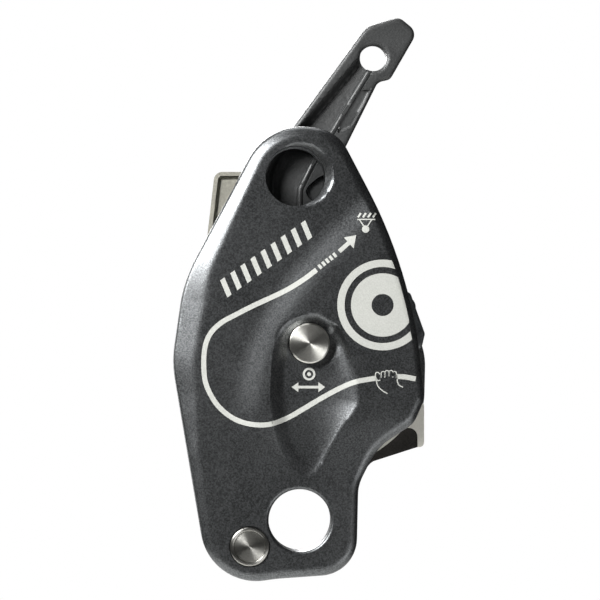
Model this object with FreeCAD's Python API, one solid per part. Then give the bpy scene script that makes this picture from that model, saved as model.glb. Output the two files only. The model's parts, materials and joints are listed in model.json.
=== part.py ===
import FreeCAD, Part
import math
import os
from FreeCAD import Vector

os.makedirs("parts", exist_ok=True)

# Self-braking rope descender. Millimetres. X to the right, Z up, the front plate faces -Y.
# The origin is the centre of the connector hole, inside the back plate's foot.

# ---- layers through the thickness, front to back ----
front_plate_out_y = -6.5
front_plate_in_y = -1.0
cam_front_y = -0.7
foot_front_y = -0.7
foot_back_y = 6.0
flange_front_y = 12.1
flange_back_y = 13.5
back_plate_front_y = 13.8
back_plate_back_y = 18.3
lever_front_y = 18.6
hub_back_y = 24.6
grip_back_y = 27.0
cover_back_y = 30.4

# ---- main centres (x, z) and radii ----
axle_x, axle_z = 2.94, 53.19
pivot_x, pivot_z = -15.06, -7.8
upper_hole_x, upper_hole_z = -1.29, 103.41
cord_hole_x, cord_hole_z = 23.0, 140.7
connector_radius = 9.35
connector_rim = 1.0
upper_hole_radius = 9.05
cord_hole_radius = 4.1
axle_radius = 5.0
axle_head_radius = 7.0
pivot_pin_radius = 4.0
running_gap = 0.04
side_gap = 0.3

cam_radius = 25.0
rope_groove_radius = 7.5
rope_centre_radius = 31.0
rope_mid_y = 5.6
nose_angle = -36.0
nose_offset = 13.5
nose_radius = 14.0
anvil_radius = 36.5
block_tip_round = 2.7
shoe_heel_round = 1.5
flange_radius = 27.0
drive_pin_orbit = 14.0
drive_pin_radius = 2.5
drive_pin_angle = 330.0
cam_lift, cam_brake = 8.0, 12.0
lever_travel = 150.0

hub_radius = 20.0
cover_inner_radius = 21.4
cover_outer_radius = 23.6
button_radius = 6.05
latch_stem_radius = 2.5
latch_slot_bottom_y = 3.8

# ---- outlines: (x, z, corner radius), clockwise seen from the front ----
plate_corners = [
    (-9.4, 119.7, 18.1), (11.3, 117.1, 12.1), (28.6, 84.2, 149.8), (35.2, 57.6, 119.1),
    (37.4, 36.4, 1.8), (34.2, 29.0, 7.0), (23.3, 21.9, 17.4), (17.6, 10.6, 12.4),
    (17.0, -15.9, 11.3), (-7.4, -17.6, 60.0), (-26.8, -20.6, 16.8), (-38.4, 47.5, 32.7),
    (-34.9, 71.9, 43.4),
]
back_plate_corners = [
    (-9.0, 119.0, 17.6), (10.9, 116.4, 11.6), (27.9, 84.0, 149.0), (34.6, 62.5, 30.0),
    (38.7, 49.0, 20.0), (38.4, 36.0, 20.0), (35.6, 21.8, 3.0), (22.0, 17.2, 12.0),
    (17.0, 10.2, 12.0), (16.4, -15.3, 10.8), (-7.4, -17.0, 60.0), (-26.4, -19.9, 16.4),
    (-37.8, 47.5, 32.2), (-34.3, 71.7, 42.9),
]
lever_corners = [
    (20.9, 150.3, 7.0), (31.0, 153.2, 3.0), (36.6, 148.6, 3.4), (28.4, 134.4, 2.2),
    (24.6, 133.6, 3.0), (10.2, 104.6, 24.0), (13.4, 86.0, 40.0), (13.0, 60.0, 1.0),
    (-7.0, 60.0, 1.0), (-9.6, 84.0, 30.0), (-13.4, 103.2, 24.0),
]
tab_corners = [
    (-25.6, 105.0, 2.6), (-12.6, 105.0, 2.0), (-11.0, 92.0, 4.0), (-17.5, 79.0, 3.0),
    (-28.6, 79.0, 1.5),
]
flange_arm_corners = [
    (-25.0, 104.2, 2.4), (-13.2, 104.2, 2.0), (-11.6, 92.0, 4.0), (-2.0, 76.0, 3.0),
    (-22.0, 66.0, 3.0), (-27.8, 80.0, 3.0),
]
exit_guide_corners = [
    (28.4, 68.8, 2.2), (33.4, 68.6, 1.5), (37.9, 56.0, 1.4), (36.7, 50.8, 2.0),
    (31.2, 52.0, 2.5), (30.6, 60.0, 12.0),
]


def turned(angle, radius, centre_x=axle_x, centre_z=axle_z):
    """The x and z of a point at this angle and radius round a centre."""
    turn = math.radians(angle)
    return centre_x + radius * math.cos(turn), centre_z + radius * math.sin(turn)


def rounded_wire(corners, y):
    """A closed outline in the plane y, straight runs joined by tangent arcs."""
    spots = []
    for number, (x, z, radius) in enumerate(corners):
        here = Vector(x, y, z)
        before_x, before_z, _ = corners[number - 1]
        after_x, after_z, _ = corners[(number + 1) % len(corners)]
        to_before = (Vector(before_x, y, before_z) - here).normalize()
        to_after = (Vector(after_x, y, after_z) - here).normalize()
        half_turn = to_before.getAngle(to_after) / 2
        reach = radius / math.tan(half_turn)
        inward = (to_before + to_after).normalize()
        centre = here + inward * (radius / math.sin(half_turn))
        spots.append((here + to_before * reach, centre - inward * radius, here + to_after * reach))
    edges = []
    for number, (start, middle, end) in enumerate(spots):
        edges.append(Part.Arc(start, middle, end).toShape())
        edges.append(Part.LineSegment(end, spots[(number + 1) % len(spots)][0]).toShape())
    return Part.Wire(edges)


def slab(corners, front_y, back_y):
    """The outline's solid between two planes."""
    return Part.Face(rounded_wire(corners, front_y)).extrude(Vector(0, back_y - front_y, 0))


def rod(x, z, radius, front_y, back_y):
    """A cylinder along Y."""
    return Part.makeCylinder(radius, back_y - front_y, Vector(x, front_y, z), Vector(0, 1, 0))


def tube(x, z, outer, inner, front_y, back_y):
    return rod(x, z, outer, front_y, back_y).cut(rod(x, z, inner, front_y - 1, back_y + 1))


def cone(x, z, front_radius, back_radius, front_y, back_y):
    return Part.makeCone(front_radius, back_radius, back_y - front_y, Vector(x, front_y, z), Vector(0, 1, 0))


def block(low, high):
    size = Vector(*high) - Vector(*low)
    return Part.makeBox(size.x, size.y, size.z, Vector(*low))


def sector(inner, outer, start, end, front_y, back_y, centre_x=axle_x, centre_z=axle_z):
    """Part of a ring round a centre, from one angle to another, counter-clockwise."""
    def spot(angle, radius):
        x, z = turned(angle, radius, centre_x, centre_z)
        return Vector(x, front_y, z)
    middle = (start + end) / 2
    edges = [
        Part.Arc(spot(start, outer), spot(middle, outer), spot(end, outer)).toShape(),
        Part.LineSegment(spot(end, outer), spot(end, inner)).toShape(),
        Part.Arc(spot(end, inner), spot(middle, inner), spot(start, inner)).toShape(),
        Part.LineSegment(spot(start, inner), spot(start, outer)).toShape(),
    ]
    return Part.Face(Part.Wire(edges)).extrude(Vector(0, back_y - front_y, 0))


def arc_slot(orbit, half_width, start, end, front_y, back_y):
    """A round-ended slot on a circle round the main axle."""
    slot = sector(orbit - half_width, orbit + half_width, start, end, front_y, back_y)
    for angle in (start, end):
        x, z = turned(angle, orbit)
        slot = slot.fuse(rod(x, z, half_width, front_y, back_y))
    return slot


def hexagon(x, z, across_flats, front_y, back_y):
    corner_radius = across_flats / 2 / math.cos(math.pi / 6)
    corners = []
    for number in range(7):
        corner_x, corner_z = turned(60 * number, corner_radius, x, z)
        corners.append(Vector(corner_x, front_y, corner_z))
    return Part.Face(Part.makePolygon(corners)).extrude(Vector(0, back_y - front_y, 0))


def fused(shapes):
    whole = shapes[0].fuse(shapes[1:])
    return whole.removeSplitter()


def outline_edges(shape, y):
    """The edges that lie in the plane y."""
    found = []
    for edge in shape.Edges:
        box = edge.BoundBox
        if abs(box.YMin - y) < 1e-4 and abs(box.YMax - y) < 1e-4:
            found.append(edge)
    return found


def countersunk_screw(x, z, front_y, back_y, shank, head):
    """Flat head at the back, shank towards the front, with a six-sided drive socket."""
    head_depth = head - shank
    screw = rod(x, z, shank, front_y, back_y - head_depth)
    screw = screw.fuse(cone(x, z, shank, head, back_y - head_depth, back_y))
    return screw.cut(hexagon(x, z, shank * 1.2, back_y - 1.6, back_y + 1)).removeSplitter()


def countersink(x, z, front_y, back_y, shank, head):
    head_depth = head - shank
    hole = rod(x, z, shank, front_y, back_y - head_depth)
    return hole.fuse(cone(x, z, shank, head, back_y - head_depth, back_y))


def torus(radius, thickness, x, y, z):
    return Part.makeTorus(radius, thickness, Vector(x, y, z), Vector(0, 1, 0))


# ---- back plate: flat upper plate, joggled forward to a foot under the connector hole ----
anvil_screw_spot = (31.8, 24.8)
anvil_dowel_spot = (26.2, 20.9)
guide_screws = [(32.4, 64.0), (34.2, 56.2)]
cover_screw_angles = [-74, -14, 42]
cover_screw_orbit = 28.0
screw_shank, screw_head = 2.0, 3.6
dowel_radius = 1.2
stop_pins = [turned(66.2, 33.0), turned(267.6, 33.0)]
detent_x, detent_z = turned(250, 17.0)


def joggled_stock():
    """Side view of the forging, swept across the whole width."""
    side = [
        (foot_front_y, -30.0), (foot_front_y, 10.9), (back_plate_front_y, 16.4), (back_plate_front_y, 130.0),
        (back_plate_back_y, 130.0), (back_plate_back_y, 14.2), (foot_back_y, 9.6), (foot_back_y, -30.0),
    ]
    corners = [Vector(-60, y, z) for y, z in side]
    return Part.Face(Part.makePolygon(corners + corners[:1])).extrude(Vector(120, 0, 0))


def back_plate():
    plate = slab(back_plate_corners, -2, back_plate_back_y)
    plate = plate.makeChamfer(0.8, outline_edges(plate, back_plate_back_y))
    plate = plate.common(joggled_stock())
    plate = plate.cut(rod(0, 0, connector_radius, -5, 10))
    plate = plate.cut(cone(0, 0, connector_radius, connector_radius + connector_rim,
                           foot_back_y - connector_rim, foot_back_y))
    plate = plate.cut(rod(0, 0, connector_radius + connector_rim, foot_back_y, 20))
    plate = plate.cut(rod(pivot_x, pivot_z, pivot_pin_radius, -5, 10))
    plate = plate.cut(rod(axle_x, axle_z, axle_radius, 10, 20))
    plate = plate.cut(rod(upper_hole_x, upper_hole_z, upper_hole_radius, 10, 20))
    half_width = drive_pin_radius + side_gap
    plate = plate.cut(arc_slot(drive_pin_orbit, half_width, drive_pin_angle - cam_brake - 2,
                               drive_pin_angle + cam_lift + 2, 10, 20))
    for x, z in guide_screws + [anvil_screw_spot]:
        plate = plate.cut(countersink(x, z, 10, back_plate_back_y, screw_shank, screw_head))
    plate = plate.cut(rod(*anvil_dowel_spot, dowel_radius, 10, back_plate_front_y + 3))
    for angle in cover_screw_angles:
        x, z = turned(angle, cover_screw_orbit)
        plate = plate.cut(rod(x, z, 1.5, back_plate_front_y + 0.8, 20))
    for x, z in stop_pins:
        plate = plate.cut(rod(x, z, 2.5, back_plate_front_y + 1, 20))
    plate = plate.cut(rod(detent_x, detent_z, 1.4, back_plate_front_y + 0.7, 20))
    return plate.removeSplitter()


# ---- main axle: slotted head in front, threaded end behind ----
slot_direction = math.degrees(math.atan2(axle_z - pivot_z, axle_x - pivot_x))
latch_orbit = math.hypot(axle_x - pivot_x, axle_z - pivot_z)
latch_exit_degrees = 12
axle_thread_radius = 4.0
axle_shoulder_y = hub_back_y + 0.3
axle_washer_y = axle_shoulder_y + 0.6
axle_nut_height = 2.4
nut_flats = 13.0
washer_radius = 8.0


def latch_path(half_width, degrees, front_y, back_y):
    """What the latch stem sweeps as the front plate swings about its own pivot."""
    path = sector(latch_orbit - half_width, latch_orbit + half_width, slot_direction,
                  slot_direction + degrees, front_y, back_y, pivot_x, pivot_z)
    return path.fuse(rod(axle_x, axle_z, half_width, front_y, back_y))


def main_axle():
    axle = rod(axle_x, axle_z, axle_head_radius, cam_front_y, latch_slot_bottom_y + 2)
    axle = axle.fuse(rod(axle_x, axle_z, axle_radius, latch_slot_bottom_y + 2, axle_shoulder_y))
    axle = axle.fuse(rod(axle_x, axle_z, axle_thread_radius, axle_shoulder_y, cover_back_y - 2.4))
    path = latch_path(latch_stem_radius + side_gap, latch_exit_degrees, cam_front_y - 1, latch_slot_bottom_y)
    axle = axle.cut(path)
    return axle.removeSplitter()


def axle_nut():
    nut = hexagon(axle_x, axle_z, nut_flats, axle_washer_y, axle_washer_y + axle_nut_height)
    return nut.cut(rod(axle_x, axle_z, axle_thread_radius, 20, 40))


def axle_washer():
    return tube(axle_x, axle_z, washer_radius, axle_thread_radius, axle_shoulder_y, axle_washer_y)


# ---- cam group ----
def cam_outline(front_y, back_y):
    x, z = turned(nose_angle, nose_offset)
    return rod(axle_x, axle_z, cam_radius, front_y, back_y).fuse(rod(x, z, nose_radius, front_y, back_y))


cam_rivet_angles = [95, 215, 335]
cam_rivet_orbit = 20.0


def latch_relief():
    """Wide groove in the cam's face, where the latch stem leaves as the front plate opens."""
    half_width, length, direction = 8.0, 32.0, 173.0
    groove = block((0, -2, -half_width), (length, latch_slot_bottom_y, half_width))
    groove.rotate(Vector(0, 0, 0), Vector(0, -1, 0), direction)
    groove.translate(Vector(axle_x, 0, axle_z))
    return groove


def cam():
    body = cam_outline(cam_front_y, flange_front_y)
    body = body.cut(torus(rope_centre_radius, rope_groove_radius, axle_x, rope_mid_y, axle_z))
    body = body.cut(rod(axle_x, axle_z, axle_head_radius + side_gap, -2, latch_slot_bottom_y + 2.3))
    body = body.cut(rod(axle_x, axle_z, 6.5, 0, 14))
    body = body.cut(latch_relief())
    body = body.cut(tube(axle_x, axle_z, 12.0, 8.0, latch_slot_bottom_y + 3.2, 14))
    for angle in cam_rivet_angles:
        x, z = turned(angle, cam_rivet_orbit)
        body = body.cut(rod(x, z, 1.6, flange_front_y - 5, 14))
    x, z = turned(drive_pin_angle, drive_pin_orbit)
    body = body.cut(rod(x, z, drive_pin_radius, flange_front_y - 6, 14))
    for number in range(9):
        angle = 200 + 12.5 * number
        x, z = turned(angle, cam_radius + 0.4)
        body = body.cut(rod(x, z, 1.0, cam_front_y - 1, flange_front_y + 1))
    return body.removeSplitter()


def cam_bush():
    return tube(axle_x, axle_z, 6.5, axle_radius + running_gap, latch_slot_bottom_y + 2.3, flange_back_y)


def cam_spring():
    """Torsion spring round the bush, in the cam's rear pocket."""
    wire_radius, coil_radius, pitch, height = 0.55, 9.8, 1.25, 3.75
    helix = Part.makeHelix(pitch, height, coil_radius)
    start = Part.Wire([Part.makeCircle(wire_radius, Vector(coil_radius, 0, 0), Vector(0, 1, 0))])
    coil = helix.makePipeShell([start], True, True)
    coil.rotate(Vector(0, 0, 0), Vector(1, 0, 0), -90)
    coil.translate(Vector(axle_x, latch_slot_bottom_y + 4.0, axle_z))
    return coil


def cam_flange():
    """Sheet steel cheek behind the cam, with an arm out to the thumb tab."""
    sheet = rod(axle_x, axle_z, flange_radius, flange_front_y, flange_back_y)
    sheet = sheet.fuse(slab(flange_arm_corners, flange_front_y, flange_back_y))
    sheet = sheet.cut(rod(axle_x, axle_z, 6.5, 10, 15))
    x, z = turned(drive_pin_angle, drive_pin_orbit)
    sheet = sheet.cut(rod(x, z, drive_pin_radius, 10, 15))
    for angle in cam_rivet_angles:
        x, z = turned(angle, cam_rivet_orbit)
        sheet = sheet.cut(rod(x, z, 1.6, 10, 15))
    for x, z in tab_rivet_spots:
        sheet = sheet.cut(rod(x, z, 1.2, 10, 15))
    return sheet.removeSplitter()


def cam_rivets():
    shapes = []
    for angle in cam_rivet_angles:
        x, z = turned(angle, cam_rivet_orbit)
        shapes.append(rod(x, z, 1.6, flange_front_y - 5, flange_back_y))
    return Part.makeCompound(shapes)


def drive_pin():
    x, z = turned(drive_pin_angle, drive_pin_orbit)
    pin = rod(x, z, drive_pin_radius, flange_front_y - 6, hub_back_y - 1.5)
    return pin.makeChamfer(0.5, outline_edges(pin, hub_back_y - 1.5))


tab_front_y = 4.2
tab_rivet_spots = [(-16.4, 98.0), (-20.5, 86.0)]


def inset(corners, amount):
    """The same outline moved inwards, by offsetting its face."""
    face = Part.Face(rounded_wire(corners, 0))
    return face.makeOffset2D(-amount)


def thumb_tab():
    """Cast tray with a thin raised rim and a raised pad, parted by a narrow groove."""
    tab = slab(tab_corners, tab_front_y, flange_front_y)
    groove = inset(tab_corners, 1.2).cut(inset(tab_corners, 2.3))
    groove = groove.extrude(Vector(0, 2.6, 0))
    groove.translate(Vector(0, tab_front_y, 0))
    pad_top = inset(tab_corners, 1.2).extrude(Vector(0, 0.9, 0))
    pad_top.translate(Vector(0, tab_front_y, 0))
    tab = tab.cut(groove).cut(pad_top)
    for x, z in tab_rivet_spots:
        tab = tab.cut(rod(x, z, 1.2, flange_front_y - 3, 14))
    return tab.removeSplitter()


def tab_rivets():
    return Part.makeCompound([rod(x, z, 1.2, flange_front_y - 3, flange_back_y) for x, z in tab_rivet_spots])


# ---- rope exit: brake anvil, its wear shoe and the guide above ----
shoe_thickness = 2.0
shoe_right_x = 37.6
shoe_bottom_z = 21.8
shoe_low_angle, shoe_high_angle = -63.0, -30.0


def arc_edge(radius, start, end, y, centre_x=axle_x, centre_z=axle_z):
    """An arc in the plane y, round the main axle unless another centre is given."""
    points = []
    for angle in (start, (start + end) / 2, end):
        x, z = turned(angle, radius, centre_x, centre_z)
        points.append(Vector(x, y, z))
    return Part.Arc(*points).toShape()


def line_edge(start, end):
    return Part.LineSegment(start, end).toShape()


def block_face_edges(y):
    """The block's curved top and straight right side, which the shoe wraps."""
    radius = anvil_radius + shoe_thickness
    right = shoe_right_x - shoe_thickness
    corner_angle = -math.degrees(math.acos((right - axle_x) / radius))
    curve = arc_edge(radius, shoe_low_angle, corner_angle, y)
    corner = curve.Vertexes[-1].Point
    return curve, corner, Vector(right, y, shoe_bottom_z)


def edges_through(shape, point):
    """The edges along y that pass through a point's x and z."""
    return [edge for edge in shape.Edges
            if len(edge.Vertexes) == 2
            and all(abs(v.X - point.x) < 0.01 and abs(v.Z - point.z) < 0.01 for v in edge.Vertexes)]


def block_stock(y):
    """The block's outline, with its thin upper tip still sharp."""
    curve, corner, heel = block_face_edges(y)
    low = curve.Vertexes[0].Point
    toe = Vector(low.x + 0.8, y, low.z - 1.7)
    edges = [curve, line_edge(corner, heel), line_edge(heel, toe), line_edge(toe, low)]
    wire = Part.Wire(Part.__sortEdges__(edges))
    return Part.Face(wire).extrude(Vector(0, back_plate_front_y - y, 0)), corner


def rounded_block(y):
    stock, corner = block_stock(y)
    return stock.makeFillet(block_tip_round, edges_through(stock, corner))


def anvil_wear_shoe():
    """Concave towards the cam, rolled over at the rope exit, straight down the right side."""
    y = cam_front_y
    curve = arc_edge(anvil_radius, shoe_low_angle, shoe_high_angle, y)
    lip_start = curve.Vertexes[-1].Point
    lip_turn = math.radians(-shoe_high_angle)
    lip_radius = (shoe_right_x - lip_start.x) / (1 + math.cos(lip_turn))
    lip_x = shoe_right_x - lip_radius
    lip_z = lip_start.z - lip_radius * math.sin(lip_turn)
    lip = arc_edge(lip_radius, 180 + shoe_high_angle, 0, y, lip_x, lip_z)
    heel = Vector(shoe_right_x, y, shoe_bottom_z)
    inner_curve, corner, inner_heel = block_face_edges(y)
    edges = [
        curve, lip,
        line_edge(Vector(shoe_right_x, y, lip_z), heel),
        line_edge(heel, inner_heel),
        line_edge(inner_heel, corner),
        inner_curve,
        line_edge(inner_curve.Vertexes[0].Point, curve.Vertexes[0].Point),
    ]
    wire = Part.Wire(Part.__sortEdges__(edges))
    shoe = Part.Face(wire).extrude(Vector(0, back_plate_front_y - y, 0))
    shoe = shoe.makeFillet(shoe_heel_round, edges_through(shoe, heel))
    tip = block_stock(y)[0].cut(rounded_block(y))
    return shoe.fuse(tip).removeSplitter()


def anvil_block():
    y = cam_front_y + 0.6
    body = rounded_block(y)
    body = body.cut(rod(*anvil_screw_spot, screw_shank, y + 3, 20))
    return body.cut(rod(*anvil_dowel_spot, dowel_radius, y + 6, 20))


def anvil_dowel():
    return rod(*anvil_dowel_spot, dowel_radius, cam_front_y + 6.6, back_plate_front_y + 3)


def exit_guide():
    guide = slab(exit_guide_corners, cam_front_y, back_plate_front_y)
    for x, z in guide_screws:
        guide = guide.cut(rod(x, z, screw_shank, cam_front_y + 4, 20))
    front_rim = outline_edges(guide, cam_front_y)
    return guide.makeFillet(0.9, front_rim)


def plate_screws(spots, front_y):
    shapes = []
    for x, z in spots:
        shapes.append(countersunk_screw(x, z, front_y, back_plate_back_y, screw_shank, screw_head))
    return Part.makeCompound(shapes)


# ---- front plate group ----
web_front_y, web_back_y = -3.7, -2.6
clip_thickness = 0.35
clip_front_y = web_back_y + 0.1


def front_plate():
    plate = slab(plate_corners, front_plate_out_y, front_plate_in_y)
    rim = outline_edges(plate, front_plate_out_y)
    plate = plate.makeFillet(1.5, rim)
    plate = plate.cut(rod(0, 0, connector_radius, -10, 2))
    plate = plate.cut(cone(0, 0, connector_radius + connector_rim, connector_radius,
                           front_plate_out_y, front_plate_out_y + connector_rim))
    plate = plate.cut(rod(upper_hole_x, upper_hole_z, upper_hole_radius, -10, 2))
    plate = plate.cut(rod(pivot_x, pivot_z, 6.2, -10, front_plate_out_y + 1.0))
    plate = plate.cut(rod(pivot_x, pivot_z, 5.2, -10, 2))
    plate = plate.cut(rod(axle_x, axle_z, button_radius + 0.3, -10, web_front_y))
    plate = plate.cut(rod(axle_x, axle_z, latch_stem_radius + running_gap, -10, 2))
    plate = plate.cut(rod(axle_x, axle_z, 4.6, web_back_y, 2))
    return plate.removeSplitter()


def plate_bush():
    return tube(pivot_x, pivot_z, 5.2, pivot_pin_radius + running_gap,
                front_plate_out_y + 1.0, front_plate_in_y)


pin_head_radius = 5.85
pin_head_front_y = front_plate_out_y - 0.5
pin_face_radius = 4.7
pin_face_sink = 0.25
pivot_washer_radius = 7.4
pivot_washer_y = foot_back_y + 1.2
pivot_nut_height = 4.4


def plate_pivot_pin():
    pin = rod(pivot_x, pivot_z, pin_head_radius, pin_head_front_y, front_plate_out_y + 0.7)
    pin = pin.makeFillet(0.45, outline_edges(pin, pin_head_front_y))
    pin = pin.cut(rod(pivot_x, pivot_z, pin_face_radius,
                      pin_head_front_y - 1, pin_head_front_y + pin_face_sink))
    pin = pin.fuse(rod(pivot_x, pivot_z, pivot_pin_radius, front_plate_out_y + 0.7, 12.4))
    return pin.removeSplitter()


def pivot_washer():
    return tube(pivot_x, pivot_z, pivot_washer_radius, pivot_pin_radius, foot_back_y, pivot_washer_y)


def pivot_nut():
    nut_top = pivot_washer_y + pivot_nut_height
    nut = hexagon(pivot_x, pivot_z, nut_flats, pivot_washer_y, nut_top)
    nut = nut.common(cone(pivot_x, pivot_z, 8.6, 6.6, pivot_washer_y, nut_top))
    return nut.cut(rod(pivot_x, pivot_z, pivot_pin_radius, 0, 20))


# ---- release button: head, stem, spring and clip, all carried by the front plate ----
button_front_y = -8.4
button_back_y = -5.8
stem_tip_y = 1.2


def release_button():
    button = rod(axle_x, axle_z, button_radius, button_front_y, button_back_y)
    button = button.makeFillet(0.5, outline_edges(button, button_front_y))
    button = button.fuse(rod(axle_x, axle_z, latch_stem_radius, button_back_y, stem_tip_y))
    groove = tube(axle_x, axle_z, latch_stem_radius + 1, latch_stem_radius - 0.4,
                  clip_front_y, clip_front_y + clip_thickness)
    return button.cut(groove).removeSplitter()


def button_spring():
    """One-turn wave of wire between the plate's inner web and the button's head."""
    wire_radius, coil_radius, height = 0.3, 4.3, 0.7
    helix = Part.makeHelix(height, height, coil_radius)
    start = Part.Wire([Part.makeCircle(wire_radius, Vector(coil_radius, 0, 0), Vector(0, 1, 0))])
    coil = helix.makePipeShell([start], True, True)
    coil.rotate(Vector(0, 0, 0), Vector(1, 0, 0), -90)
    coil.translate(Vector(axle_x, button_back_y + 0.7, axle_z))
    return coil


def button_clip():
    clip = tube(axle_x, axle_z, 4.2, latch_stem_radius - 0.4, clip_front_y, clip_front_y + clip_thickness)
    gap = block((axle_x - 0.9, -3, axle_z - 6), (axle_x + 0.9, 0, axle_z))
    return clip.cut(gap)


# ---- lever group ----
def hub_slot():
    """Lost-motion slot: the drive pin idles in it over the lever's travel."""
    spread = math.degrees(math.asin((drive_pin_radius + 0.6) / drive_pin_orbit)) / 2
    return arc_slot(drive_pin_orbit, drive_pin_radius + side_gap,
                    drive_pin_angle - lever_travel - cam_brake - spread,
                    drive_pin_angle + cam_lift + spread, lever_front_y - 1, hub_back_y + 1)


def lever():
    hub = rod(axle_x, axle_z, hub_radius, lever_front_y, hub_back_y)
    arm = slab(lever_corners, lever_front_y, hub_back_y)
    grip = slab(lever_corners, hub_back_y - 1, grip_back_y)
    grip = grip.cut(rod(axle_x, axle_z, cover_outer_radius + 6, hub_back_y, 30))
    grip = grip.cut(rod(axle_x, axle_z, cover_outer_radius + 6, hub_back_y - 2, 30))
    whole = fused([hub, arm, grip])
    whole = whole.cut(rod(cord_hole_x, cord_hole_z, cord_hole_radius, 10, 30))
    whole = whole.cut(rod(axle_x, axle_z, 7.0, 10, 30))
    whole = whole.cut(hub_slot())
    whole = whole.cut(slab(left_pocket_corners, lever_front_y - 1, lever_front_y + 2.2))
    whole = whole.cut(slab(right_scoop_corners, lever_front_y - 1, lever_front_y + 1.2))
    whole = whole.cut(slab(rear_pocket_corners, grip_back_y - 1.8, grip_back_y + 1))
    for turn in (0, lever_travel):
        x, z = turned(250 - turn, 17.0)
        whole = whole.cut(Part.makeSphere(2.0, Vector(x, lever_front_y - 0.9, z)))
    return whole.removeSplitter()


left_pocket_corners = [
    (20.6, 141.0, 1.4), (22.4, 134.4, 2.0), (5.6, 105.0, 3.0), (-5.8, 105.0, 3.0),
    (-3.0, 112.5, 20.0),
]
right_scoop_corners = [
    (21.9, 130.8, 0.6), (18.9, 124.6, 12.0), (15.2, 118.6, 0.8), (12.4, 118.2, 0.6), (14.6, 124.0, 12.0),
    (18.6, 130.2, 0.6),
]
rear_pocket_corners = [
    (18.0, 140.0, 2.0), (22.0, 133.0, 2.5), (10.0, 110.0, 4.0), (9.0, 92.0, 4.0),
    (-5.0, 92.0, 4.0), (-6.0, 104.0, 6.0),
]


def hub_bush():
    return tube(axle_x, axle_z, 7.0, axle_radius + running_gap, lever_front_y, hub_back_y)


def detent_ball():
    return Part.makeSphere(1.3, Vector(detent_x, back_plate_back_y - 1.15, detent_z))


def detent_spring():
    wire_radius, coil_radius = 0.18, 1.0
    helix = Part.makeHelix(0.45, 0.6, coil_radius)
    start = Part.Wire([Part.makeCircle(wire_radius, Vector(coil_radius, 0, 0), Vector(0, 1, 0))])
    coil = helix.makePipeShell([start], True, True)
    coil.rotate(Vector(0, 0, 0), Vector(1, 0, 0), -90)
    coil.translate(Vector(detent_x, back_plate_front_y + 0.95, detent_z))
    return coil


# ---- rear cover over the hub ----
cover_start, cover_end = -86.0, 56.0
wall_front_y = back_plate_back_y


def lever_return_spring():
    """Flat spiral strip inside the cover, inner radius 9.5, outer radius 19.5."""
    turns, inner, outer, thickness = 3.25, 9.6, 19.4, 0.7
    steps = 40
    near, far = [], []
    for number in range(steps + 1):
        share = number / steps
        angle = 360 * turns * share
        radius = inner + (outer - inner) * share
        x, z = turned(angle, radius)
        near.append(Vector(x, hub_back_y + 0.6, z))
        x, z = turned(angle, radius + thickness)
        far.append(Vector(x, hub_back_y + 0.6, z))
    inside, outside = Part.BSplineCurve(), Part.BSplineCurve()
    inside.interpolate(near)
    outside.interpolate(far)
    edges = [
        inside.toShape(), Part.LineSegment(near[-1], far[-1]).toShape(),
        outside.toShape(), Part.LineSegment(far[0], near[0]).toShape(),
    ]
    wire = Part.Wire(Part.__sortEdges__(edges))
    return Part.Face(wire).extrude(Vector(0, 2.4, 0))


def rear_cover():
    shell = rod(axle_x, axle_z, cover_outer_radius, hub_back_y + 0.3, cover_back_y)
    shell = shell.makeFillet(1.6, outline_edges(shell, cover_back_y))
    shell = shell.cut(rod(axle_x, axle_z, cover_inner_radius, hub_back_y - 1, cover_back_y - 2.2))
    wall = sector(cover_inner_radius, cover_outer_radius, cover_start, cover_end,
                  wall_front_y, hub_back_y + 0.5)
    shapes = [shell, wall]
    for angle in cover_screw_angles:
        x, z = turned(angle, cover_screw_orbit)
        lug = rod(x, z, 3.6, wall_front_y, wall_front_y + 4.0)
        near_x, near_z = turned(angle, cover_outer_radius - 0.6)
        web_length = cover_screw_orbit - cover_outer_radius + 0.6
        web = block((-3.6, wall_front_y, 0), (3.6, wall_front_y + 4.0, web_length))
        web.rotate(Vector(0, 0, 0), Vector(0, 1, 0), 90 - angle)
        web.translate(Vector(near_x, 0, near_z))
        shapes += [lug, web]
    shell = fused(shapes)
    shell = shell.cut(rod(axle_x, axle_z, cover_inner_radius, wall_front_y - 1, hub_back_y + 1))
    for angle in cover_screw_angles:
        x, z = turned(angle, cover_screw_orbit)
        shell = shell.cut(rod(x, z, 1.5, wall_front_y - 1, wall_front_y + 6))
    return shell.removeSplitter()


def cover_screws():
    shapes = []
    for angle in cover_screw_angles:
        x, z = turned(angle, cover_screw_orbit)
        head_y = wall_front_y + 4.0
        screw = rod(x, z, 1.5, back_plate_front_y + 0.8, head_y)
        screw = screw.fuse(rod(x, z, 2.9, head_y, head_y + 2.2))
        screw = screw.makeFillet(0.5, outline_edges(screw, head_y + 2.2))
        screw = screw.cut(hexagon(x, z, 2.5, head_y + 0.8, head_y + 3))
        shapes.append(screw)
    return Part.makeCompound(shapes)


def stop_pin_set():
    return Part.makeCompound([rod(x, z, 2.5, back_plate_front_y + 1, hub_back_y - 0.8) for x, z in stop_pins])


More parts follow.
